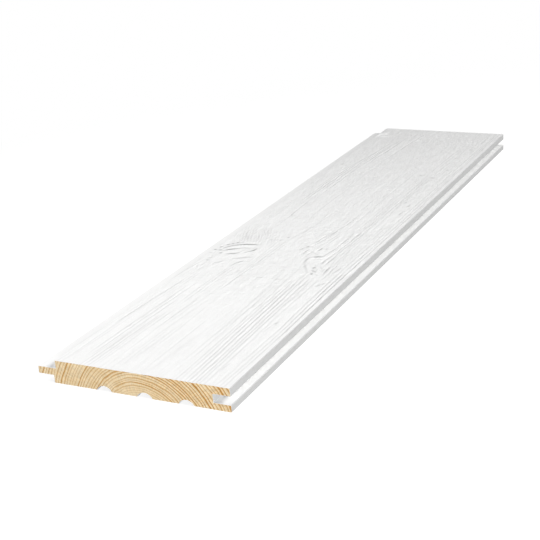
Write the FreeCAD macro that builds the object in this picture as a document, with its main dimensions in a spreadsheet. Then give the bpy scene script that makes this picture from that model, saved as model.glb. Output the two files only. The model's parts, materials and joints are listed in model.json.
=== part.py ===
"""Tongue and groove board: one length of planed softwood panelling, lying on its back with the face up.

The section is in the XZ plane and the length runs along Y. The tongue is at -X, the groove at +X.
The origin is at the middle of the overall width and of the length, on the plane of the back.
"""
import FreeCAD, Part
import os
import Sketcher

# Driving dimensions in millimetres: alias, value, what it measures.
DIMENSIONS = (
    ("board_length", 515.0, "length, end to end"),
    ("board_thickness", 14.0, "back to face"),
    ("cover_width", 110.0, "width that one laid board covers, lower shoulder to groove edge"),
    ("tongue_length", 10.0, "lower shoulder to tongue tip"),
    ("tongue_thickness", 4.4, "tongue, upper side to lower side"),
    ("tongue_below_face", 5.0, "face to upper side of the tongue"),
    ("roof_clearance", 0.1, "upper side of the tongue to the roof of the next board's groove"),
    ("floor_clearance", 0.5, "lower side of the tongue to the floor of the next board's groove"),
    ("tip_clearance", 0.4, "tongue tip to the bottom of the next board's groove"),
    ("shadow_gap", 1.8, "open line between two laid faces: set-back of the upper shoulder"),
    ("shoulder_undercut", 0.3, "further set-back of the upper shoulder where it meets the tongue"),
    ("relief_count", 3, "relief channels in the back"),
    ("relief_pitch", 25.5, "channel centre to channel centre"),
    ("relief_offset", 2.9, "middle of the channels from the middle of the back, towards the groove"),
    ("relief_width", 9.5, "channel mouth"),
    ("relief_depth", 2.9, "channel crown above the back"),
    ("arris_radius", 0.4, "easing of the long corners"),
)

# Places and sizes that follow from the driving dimensions, as expressions of the sheet.
TIP_X = "-(dims.cover_width + dims.tongue_length) / 2"
SHOULDER_X = "(dims.tongue_length - dims.cover_width) / 2"
TONGUE_Z = "dims.board_thickness - dims.tongue_below_face - dims.tongue_thickness"
TONGUE_TOP_Z = "dims.board_thickness - dims.tongue_below_face"
GROOVE_DEPTH = "dims.tongue_length + dims.tip_clearance"
GROOVE_X = "(dims.cover_width - dims.tongue_length) / 2 - dims.tip_clearance"
GROOVE_HEIGHT = "dims.tongue_thickness + dims.roof_clearance + dims.floor_clearance"
GROOVE_Z = f"{TONGUE_Z} - dims.floor_clearance"
RELIEF_X = "dims.tongue_length / 2 + dims.relief_offset - dims.relief_pitch * (dims.relief_count - 1) / 2"
RELIEF_RADIUS = "(dims.relief_width ^ 2 / 4 + dims.relief_depth ^ 2) / (2 * dims.relief_depth)"

START, END, CENTRE = 1, 2, 3
ORIGIN = (-1, START)
TOLERANCE = 1e-4


def make_sheet(doc):
    sheet = doc.addObject("Spreadsheet::Sheet", "dims")
    for row, (alias, value, meaning) in enumerate(DIMENSIONS, start=1):
        sheet.set(f"A{row}", meaning)
        sheet.set(f"B{row}", str(value))
        sheet.setAlias(f"B{row}", alias)
    doc.recompute()
    return sheet


def origin_feature(body, role):
    return next(f for f in body.Origin.OriginFeatures if f.Role == role)


def new_sketch(body, name):
    """An empty sketch on the section plane: its x is the part's X and its y is the part's Z."""
    sketch = body.newObject("Sketcher::SketchObject", name)
    sketch.AttachmentSupport = (origin_feature(body, "XZ_Plane"), "")
    sketch.MapMode = "FlatFace"
    return sketch


def dimension(sketch, name, kind, ends, expression):
    """A named dimension of the sketch, driven by an expression of the sheet."""
    value = float(sketch.evalExpression(expression))
    index = sketch.addConstraint(Sketcher.Constraint(kind, *ends, value))
    sketch.renameConstraint(index, name)
    sketch.setExpression(f"Constraints.{name}", expression)


def outline_sketch(body, name, left, bottom, top_width, bottom_width, height):
    """A four-sided outline with an upright left side and level top and bottom sides."""
    sketch = new_sketch(body, name)
    x, z, wide_low, wide_high, tall = (
        float(sketch.evalExpression(e)) for e in (left, bottom, bottom_width, top_width, height)
    )
    corners = [
        FreeCAD.Vector(x, z),
        FreeCAD.Vector(x + wide_low, z),
        FreeCAD.Vector(x + wide_high, z + tall),
        FreeCAD.Vector(x, z + tall),
    ]
    low, right, high, upright = (
        sketch.addGeometry(Part.LineSegment(a, b)) for a, b in zip(corners, corners[1:] + corners[:1])
    )
    sides = (low, right, high, upright)
    for side, following in zip(sides, sides[1:] + sides[:1]):
        sketch.addConstraint(Sketcher.Constraint("Coincident", side, END, following, START))
    sketch.addConstraint(Sketcher.Constraint("Horizontal", low))
    sketch.addConstraint(Sketcher.Constraint("Horizontal", high))
    sketch.addConstraint(Sketcher.Constraint("Vertical", upright))
    dimension(sketch, "left", "DistanceX", (*ORIGIN, low, START), left)
    dimension(sketch, "bottom", "DistanceY", (*ORIGIN, low, START), bottom)
    dimension(sketch, "bottom_width", "DistanceX", (low, START, low, END), bottom_width)
    dimension(sketch, "top_width", "DistanceX", (high, END, high, START), top_width)
    dimension(sketch, "height", "DistanceY", (upright, END, upright, START), height)
    return sketch


def channel_sketch(body, name):
    """The first relief channel: the round-nosed cutter's arc, closed along the back."""
    sketch = new_sketch(body, name)
    x, width, depth = (
        float(sketch.evalExpression(e)) for e in (RELIEF_X, "dims.relief_width", "dims.relief_depth")
    )
    mouth_left = FreeCAD.Vector(x - width / 2, 0)
    mouth_right = FreeCAD.Vector(x + width / 2, 0)
    crown = FreeCAD.Vector(x, depth)
    arc = sketch.addGeometry(Part.Arc(mouth_right, crown, mouth_left))
    mouth = sketch.addGeometry(Part.LineSegment(mouth_left, mouth_right))
    sketch.addConstraint(Sketcher.Constraint("Coincident", arc, END, mouth, START))
    sketch.addConstraint(Sketcher.Constraint("Coincident", mouth, END, arc, START))
    sketch.addConstraint(Sketcher.Constraint("Horizontal", mouth))
    sketch.addConstraint(Sketcher.Constraint("PointOnObject", mouth, START, -1))
    dimension(sketch, "centre", "DistanceX", (*ORIGIN, arc, CENTRE), RELIEF_X)
    dimension(sketch, "width", "DistanceX", (mouth, START, mouth, END), "dims.relief_width")
    dimension(sketch, "radius", "Radius", (arc,), RELIEF_RADIUS)
    return sketch


def add_pad(body, name, sketch):
    """Adds the sketch's outline along the whole length, half of it each way."""
    pad = body.newObject("PartDesign::Pad", name)
    pad.Profile = sketch
    pad.SideType = "Symmetric"
    pad.setExpression("Length", "dims.board_length")
    body.Document.recompute()
    return pad


def add_pocket(body, name, sketch):
    """Cuts the sketch's outline through the whole length."""
    pocket = body.newObject("PartDesign::Pocket", name)
    pocket.Profile = sketch
    pocket.SideType = "Symmetric"
    pocket.Type = "ThroughAll"
    body.Document.recompute()
    return pocket


def repeat_channel(body, pocket):
    pattern = body.newObject("PartDesign::LinearPattern", "relief_channels")
    pattern.Originals = [pocket]
    pattern.Direction = (origin_feature(body, "X_Axis"), [""])
    pattern.Mode = "Spacing"
    pattern.setExpression("Offset", "dims.relief_pitch")
    pattern.setExpression("Occurrences", "dims.relief_count")
    body.Tip = pattern
    body.Document.recompute()
    return pattern


def eased_corners(sketches):
    """Section corners (x, z) that the cutters ease: face, back, tongue tip and both lips of the groove."""
    blank, tongue, groove, rebate = sketches
    face_z = float(blank.evalExpression("dims.board_thickness"))
    edge_x = -float(blank.evalExpression(TIP_X))
    tip_x = float(tongue.evalExpression(TIP_X))
    shoulder_x = float(blank.evalExpression(SHOULDER_X))
    gap = rebate.getDatum("top_width").Value
    tongue_low = tongue.getDatum("bottom").Value
    tongue_high = tongue_low + tongue.getDatum("height").Value
    floor_z = groove.getDatum("bottom").Value
    roof_z = floor_z + groove.getDatum("height").Value
    return (
        (shoulder_x + gap, face_z), (edge_x, face_z), (edge_x, roof_z), (edge_x, floor_z),
        (edge_x, 0.0), (shoulder_x, 0.0), (tip_x, tongue_low), (tip_x, tongue_high),
    )


def ease_arrises(body, base, corners):
    """Rounds the long edges that run through the given section corners."""
    names = []
    for number, edge in enumerate(base.Shape.Edges, start=1):
        first, last = (v.Point for v in (edge.Vertexes[0], edge.Vertexes[-1]))
        lengthwise = abs(first.x - last.x) < TOLERANCE and abs(first.z - last.z) < TOLERANCE
        if lengthwise and any(abs(first.x - x) < TOLERANCE and abs(first.z - z) < TOLERANCE for x, z in corners):
            names.append(f"Edge{number}")
    if len(names) != len(corners):
        raise RuntimeError(f"{len(names)} of {len(corners)} long edges found")
    fillet = body.newObject("PartDesign::Fillet", "arrises")
    fillet.Base = (base, names)
    fillet.setExpression("Radius", "dims.arris_radius")
    body.Document.recompute()
    return fillet


def make_board(doc):
    body = doc.addObject("PartDesign::Body", "board")
    body.Label = "board"
    blank = outline_sketch(
        body, "blank_outline", SHOULDER_X, "0", "dims.cover_width", "dims.cover_width", "dims.board_thickness"
    )
    add_pad(body, "blank", blank)
    tongue = outline_sketch(
        body, "tongue_outline", TIP_X, TONGUE_Z, "dims.tongue_length", "dims.tongue_length", "dims.tongue_thickness"
    )
    add_pad(body, "tongue", tongue)
    groove = outline_sketch(
        body, "groove_outline", GROOVE_X, GROOVE_Z, GROOVE_DEPTH, GROOVE_DEPTH, GROOVE_HEIGHT
    )
    add_pocket(body, "groove", groove)
    rebate = outline_sketch(
        body, "upper_shoulder_outline", SHOULDER_X, TONGUE_TOP_Z,
        "dims.shadow_gap", "dims.shadow_gap + dims.shoulder_undercut", "dims.tongue_below_face"
    )
    add_pocket(body, "upper_shoulder", rebate)
    channel = add_pocket(body, "relief_channel", channel_sketch(body, "channel_outline"))
    channels = repeat_channel(body, channel)
    ease_arrises(body, channels, eased_corners((blank, tongue, groove, rebate)))
    return body


def check(doc, sub_parts):
    for item in doc.Objects:
        if "Invalid" in item.State or "Error" in item.State:
            raise RuntimeError(f"{item.Name} failed: {item.State}")
    for part in sub_parts:
        if part.Shape.isNull() or not part.Shape.isValid() or len(part.Shape.Solids) != 1:
            raise RuntimeError(f"{part.Label} is not one valid solid")


def main():
    doc = FreeCAD.newDocument("tongue_and_groove_board")
    make_sheet(doc)
    sub_parts = [make_board(doc)]
    doc.recompute()
    check(doc, sub_parts)
    os.makedirs("parts", exist_ok=True)
    for part in sub_parts:
        part.Shape.exportStep(os.path.join("parts", f"{part.Label}.step"))
        print(part.Label, round(part.Shape.Volume), "mm3", part.Shape.BoundBox)


main()
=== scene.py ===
"""Tongue and groove board, dressed: a brushed face under white paint, planed sides and bare sawn ends.

Lengths are in millimetres in the part's own frame, and become metres where a mesh, a lamp or the camera
is made. The length runs along Y, the tongue is at -X, the groove at +X, and the face looks up.
"""

import json
import math
from collections import namedtuple

import bpy
import numpy as np
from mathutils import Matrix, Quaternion, Vector


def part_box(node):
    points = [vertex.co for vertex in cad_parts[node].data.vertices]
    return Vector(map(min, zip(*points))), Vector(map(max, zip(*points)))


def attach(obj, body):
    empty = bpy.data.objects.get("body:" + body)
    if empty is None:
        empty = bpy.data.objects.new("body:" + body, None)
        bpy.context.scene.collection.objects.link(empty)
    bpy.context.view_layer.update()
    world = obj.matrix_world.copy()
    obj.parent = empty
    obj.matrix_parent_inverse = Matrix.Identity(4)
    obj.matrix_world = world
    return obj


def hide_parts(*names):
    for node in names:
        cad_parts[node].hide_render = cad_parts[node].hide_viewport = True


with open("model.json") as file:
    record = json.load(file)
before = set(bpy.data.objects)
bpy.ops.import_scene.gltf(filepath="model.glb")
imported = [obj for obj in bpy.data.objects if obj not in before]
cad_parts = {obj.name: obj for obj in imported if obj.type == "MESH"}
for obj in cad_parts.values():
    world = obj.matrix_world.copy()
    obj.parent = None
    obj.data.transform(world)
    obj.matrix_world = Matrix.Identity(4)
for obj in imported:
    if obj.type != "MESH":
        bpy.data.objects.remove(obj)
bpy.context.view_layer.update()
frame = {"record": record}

MM = 0.001
CORNER_LOW, CORNER_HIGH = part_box("board")
TIP_X, NEAR_Y, BACK_Z = (value / MM for value in CORNER_LOW)
EDGE_X, FAR_Y, FACE_Z = (value / MM for value in CORNER_HIGH)

# The section, as the CAD part has it.
TONGUE_LENGTH = 10.0
TONGUE_DROP = 5.0
TONGUE_THICKNESS = 4.4
TONGUE_TOP_Z = FACE_Z - TONGUE_DROP
TONGUE_LOW_Z = TONGUE_TOP_Z - TONGUE_THICKNESS
SHOULDER_X = TIP_X + TONGUE_LENGTH
SHADOW_GAP = 1.8
SHOULDER_UNDERCUT = 0.3
FACE_LEFT_X = SHOULDER_X + SHADOW_GAP
GROOVE_DEPTH = 10.4
CLEARANCE_ABOVE = 0.1
CLEARANCE_BELOW = 0.5
GROOVE_X = EDGE_X - GROOVE_DEPTH
GROOVE_ROOF_Z = TONGUE_TOP_Z + CLEARANCE_ABOVE
GROOVE_FLOOR_Z = TONGUE_LOW_Z - CLEARANCE_BELOW
CHANNEL_COUNT = 3
CHANNEL_PITCH = 25.5
CHANNEL_SHIFT = 2.9
CHANNEL_MIDDLE_X = (SHOULDER_X + EDGE_X) / 2 + CHANNEL_SHIFT
CHANNEL_WIDTH = 9.5
CHANNEL_DEPTH = 2.9
ARRIS_RADIUS = 0.4

# The mesh: columns across the face and rows along the length, closer at the knots. The face lies
# a little under the CAD face, so that its ridges stay inside the CAD box.
FACE_INSET = 0.2
FACE_PLANE_Z = FACE_Z - FACE_INSET
ARRIS_STEPS = 4
ARRIS_MARGIN = 0.15
ARRIS_LOW_Z = FACE_PLANE_Z - ARRIS_RADIUS - ARRIS_MARGIN
CHANNEL_STEPS = 14
COLUMN_WIDTH = 0.40
ROW_LENGTH = 2.1
KNOT_ROW_LENGTH = 0.85
KNOT_ROWS_Y = ((-106.0, -26.0), (224.0, 242.0))
KNOT_ROWS_FADE = 10.0
ROW_SAMPLES = 4001
ROWS_PER_SIDE_ROW = 8
SHARP_ANGLE = math.radians(50)

# The tree that the board was sawn from: its pith lies below the back, and the rings are a little oval.
PITH_X = 4.0
PITH_Z = -17.0
RING_STRETCH_LEFT = 0.95
RING_STRETCH_RIGHT = 1.12
RING_COUNT_SCALE = 2.60
RING_COUNT_POWER = 0.7

# The run of the grain on the face: a lean, a slow sway along the length and a bend round the knots.
GRAIN_LEAN = 0.01
GRAIN_SWAY = 1.9
GRAIN_SWAY_LENGTH = 390.0
GRAIN_SWAY_START_Y = -200.0
GRAIN_BEND = 0.5
GRAIN_BEND_REACH = 1.5

# Seeded noise: the sizes of its cells in two directions, and its seed.
Noise = namedtuple("Noise", "cell_x cell_y seed")
LATTICE_SIZE = 128

# Faint lines where the growth rings come out at the face. They step back in the quiet middle of the
# board, and at the close lines and beside the groove, where the grain lines below stand for them.
RING_SEED = 5
RING_LIMIT = 128
RING_STRENGTHS = (0.6, 1.15)
RING_LINE_STRENGTH = 0.44
RING_LINE_MIDDLE = 0.5
RING_LINE_SHARE = 0.20
RING_STEP_DEPTH = 0.08
RING_WANDER = 0.25
RING_WANDER_NOISE = Noise(6.0, 60.0, 11)
RING_ALONG = 0.45
RING_ALONG_VARIATION = 1.1
RING_ALONG_MOST = 1.3
RING_ALONG_NOISE = Noise(3.0, 45.0, 12)
RING_CALM = 0.85
RING_FAR_LOSS = 0.5
QUIET_HALF_WIDTH = 22.0
QUIET_FADE = 10.0
QUIET_RISE_Y = (-135.0, -60.0)
CLOSE_LINES_RISE_X = (22.0, 28.0)
CLOSE_LINES_FALL_Y = (-112.0, -92.0)
GROOVE_LINES_RISE_X = (47.0, 50.0)

# Fibres, brush mottle and slow waves of the face, and the uneven strength of its lines.
FIBRE_DEPTH = 0.03
FIBRE_NOISE = Noise(0.9, 22.0, 13)
MOTTLE_DEPTH = 0.12
MOTTLE_NEAR = 0.4
MOTTLE_GAIN = 0.45
MOTTLE_RISE_Y = (-220.0, -80.0)
MOTTLE_NOISE = Noise(2.0, 5.4, 14)
FINE_MOTTLE_NOISE = Noise(1.3, 4.4, 18)
FINE_MOTTLE_SHARE = 0.8
MOTTLE_SPREAD = 1.3
SLOW_DEPTH = 0.05
SLOW_NOISE = Noise(14.0, 90.0, 15)
BEADING = 0.7
BEADING_NOISE = Noise(3.0, 7.0, 19)

# Grain lines that can be told apart, the ridges beside them, and the calm along the face's edges.
LINE_DEPTH = 0.17
LINE_HALF_WIDTH = 0.55
LINE_FADE = 14.0
LINE_WANDER = 0.2
LINE_WANDER_STEP = 7.3
LINE_WANDER_NOISE = Noise(1.0, 28.0, 16)
LINE_VARIATION = 0.3
LINE_VARIATION_STEP = 3.1
LINE_NOISE = Noise(1.0, 17.0, 17)
LINE_NEAR_SHARE = 0.6
LINE_NEAR_FADE = 75.0
RIM_SHARE = 0.52
RIM_DISTANCE = 2.2
RIM_WIDTH = 0.9
EDGE_CALM = 1.6
EDGE_KEEP = 0.25

# The places of these lines: the near end, the middle and the far end of a bow, and a strength.
GrainLine = namedtuple("GrainLine", "near middle far strength")
GRAIN_LINES = tuple(GrainLine(*values) for values in (
    # beside the groove, all along
    ((51.4, -270), (51.6, -225), (52.4, -178), 0.42),
    ((53.8, -270), (54.2, -225), (54.8, -178), 0.5),
    ((56, -270), (56.4, -225), (56.8, -178), 0.6),
    ((52.5, -190), (50.9, -110), (51.7, -40), 0.7),
    ((54.8, -188), (53.6, -115), (54.3, -50), 0.85),
    ((53.8, -138), (53.6, -115), (53.6, -92), 1.3),
    ((56.9, -190), (56, -125), (56.1, -68), 1.25),
    ((51.8, -50), (52, 0), (52.3, 60), 0.45),
    ((54.3, -60), (54.7, -5), (54.8, 60), 0.55),
    ((56.1, -78), (56.6, -15), (56.7, 60), 0.75),
    ((52.3, 50), (52.8, 150), (53.2, 270), 0.42),
    ((54.8, 50), (55, 150), (54.4, 270), 0.52),
    ((56.6, 50), (56.4, 150), (57, 270), 0.55),
    # the close lines of the groove half, up to the horn knot
    ((28.3, -270), (26.6, -190), (23.9, -112), 0.55),
    ((31, -270), (28.6, -190), (26.8, -112), 0.55),
    ((33.8, -270), (31.1, -190), (28.8, -118), 0.85),
    ((35.8, -270), (33.6, -190), (30.9, -108), 1),
    ((38.4, -270), (36.3, -190), (33.6, -106), 0.95),
    ((40.8, -270), (38.5, -190), (37, -110), 0.88),
    ((42.6, -270), (40.6, -190), (39.4, -112), 0.7),
    ((45.4, -270), (43.6, -190), (43.1, -108), 0.45),
    # the quiet middle of the near half
    ((20.4, -230), (19.4, -170), (16.4, -104), 0.34),
    ((23.4, -230), (22.4, -170), (20.2, -104), 0.38),
    ((5.6, -250), (5.8, -215), (5.6, -185), 0.4),
    ((-3.6, -232), (-3.6, -205), (-4.2, -165), 0.3),
    ((-9, -250), (-9.2, -230), (-9, -205), 0.3),
    ((-8.6, -134), (-8.5, -118), (-8.1, -104), 1),
    ((-7.8, -104), (-7.4, -75), (-7.2, -48), 0.45),
    ((-10.2, -112), (-9.7, -80), (-9.6, -52), 0.32),
    ((-5.8, -108), (-5.4, -80), (-5.2, -50), 0.28),
    ((-11.6, -100), (-11.6, -75), (-12, -48), 0.4),
    # the tongue half, near end
    ((-16.4, -257), (-16.3, -190), (-15.9, -112), 0.24),
    ((-22.4, -250), (-21.8, -215), (-20.6, -180), 0.45),
    ((-24.2, -250), (-24, -215), (-23.2, -180), 0.45),
    ((-26.6, -257), (-25.9, -220), (-24.8, -185), 0.5),
    ((-29.4, -257), (-28.7, -215), (-27.2, -165), 0.58),
    ((-32.4, -240), (-31.4, -190), (-29.2, -135), 0.64),
    ((-35.2, -240), (-34.2, -190), (-32.4, -140), 0.6),
    ((-43.6, -257), (-43.4, -225), (-43.4, -195), 0.4),
    ((-43.8, -200), (-42.2, -165), (-40.2, -130), 0.6),
    ((-47.8, -130), (-46.8, -112), (-44.8, -95), 0.6),
    ((-45.4, -130), (-44, -112), (-42.4, -98), 0.18),
    ((-23.2, -160), (-23.4, -130), (-22.4, -104), 0.45),
    ((-20.8, -160), (-21, -130), (-20.2, -104), 0.4),
    ((-18.2, -150), (-18.2, -128), (-17.8, -106), 0.35),
    # past the horn knot
    ((28.8, -70), (31.3, -48), (31.6, -22), 1),
    ((33, -80), (35, -54), (35.8, -18), 0.85),
    ((37, -82), (37.4, -50), (38.4, -18), 0.85),
    ((40.4, -80), (40, -50), (40.4, -20), 0.4),
    ((45, -106), (44.8, -92), (44.2, -76), 0.8),
    ((12.6, -50), (14.2, -38), (15.8, -22), 0.7),
    ((15.4, -49), (17.2, -36), (18.8, -20), 0.8),
    ((19, -50), (20.4, -40), (22, -26), 0.7),
    ((22.2, -58), (23, -46), (24.2, -30), 0.65),
    ((15, -36), (19.2, -12), (20.8, 12), 0.75),
    ((41.6, -84), (41.8, -50), (42, -12), 0.3),
    ((43.8, -74), (43.8, -44), (44, -12), 0.28),
    ((46.2, -80), (46, -44), (46.2, -12), 0.25),
    ((48.6, -78), (48.4, -44), (48.4, -12), 0.25),
    ((50.6, -110), (50.4, -60), (50.4, -12), 0.3),
    ((-6.6, -44), (-4, -26), (-2.4, -8), 0.45),
    ((-4.2, -36), (-1, -8), (1, 26), 0.6),
    ((-1, -34), (1, -18), (2.4, -4), 0.4),
    # the middle and the far half
    ((38.4, -30), (38.6, 20), (39.2, 115), 0.58),
    ((36.2, -30), (36.2, 20), (36.6, 130), 0.42),
    ((41.6, -10), (41.2, 40), (41.2, 112), 0.45),
    ((34, -12), (33.8, 20), (34, 60), 0.35),
    ((32, -14), (32, 20), (32, 60), 0.35),
    ((17.8, 30), (17.8, 44), (17.8, 60), 0.35),
    ((-11.6, 8), (-12.4, 40), (-11.2, 70), 0.5),
    ((-11.2, 66), (-12.8, 118), (-11.8, 172), 0.42),
    ((-11.8, 168), (-10.6, 196), (-7.2, 240), 0.8),
    ((-14.4, 82), (-14.2, 102), (-14, 124), 0.45),
    ((-27.6, 2), (-29.2, 40), (-29.6, 84), 0.55),
    ((-32.2, 46), (-32.4, 72), (-31.2, 140), 0.85),
    ((-29.4, 74), (-29.2, 124), (-28.2, 196), 0.72),
    ((-20.2, 170), (-19.6, 190), (-18.4, 212), 0.7),
    ((36.2, 112), (36.2, 150), (36.6, 192), 0.35),
    ((38.4, 140), (38.4, 156), (38.8, 172), 0.35),
    ((-34.6, 40), (-34.4, 80), (-33.6, 126), 0.65),
    ((-26.6, 60), (-26.4, 95), (-25.8, 132), 0.6),
    ((-34.2, 110), (-33, 136), (-31, 160), 0.8),
    ((-31.4, 140), (-29.6, 170), (-26.4, 206), 0.68),
    ((-27.4, 150), (-25.8, 176), (-22.8, 208), 0.64),
    ((-25.2, 146), (-23.6, 180), (-21.4, 218), 0.65),
    ((-22.2, 146), (-20.8, 180), (-18.4, 224), 0.65),
    ((24.8, -18), (24.6, 50), (24.6, 126), 0.35),
    ((20.4, -24), (20.3, 0), (20.2, 24), 0.35),
    ((15.4, 96), (15.4, 106), (15.4, 118), 0.35),
))

Knot = namedtuple("Knot", "x y half_length half_width turn")
EYE_KNOT = Knot(-31.5, -70.0, 13.2, 8.0, math.radians(37))
HORN_KNOT = Knot(33.0, -86.0, 20.0, 5.5, math.radians(-55))
EDGE_KNOT = Knot(-43.5, 232.0, 7.0, 4.0, math.radians(60))
KNOTS = (EYE_KNOT, HORN_KNOT, EDGE_KNOT)

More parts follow.
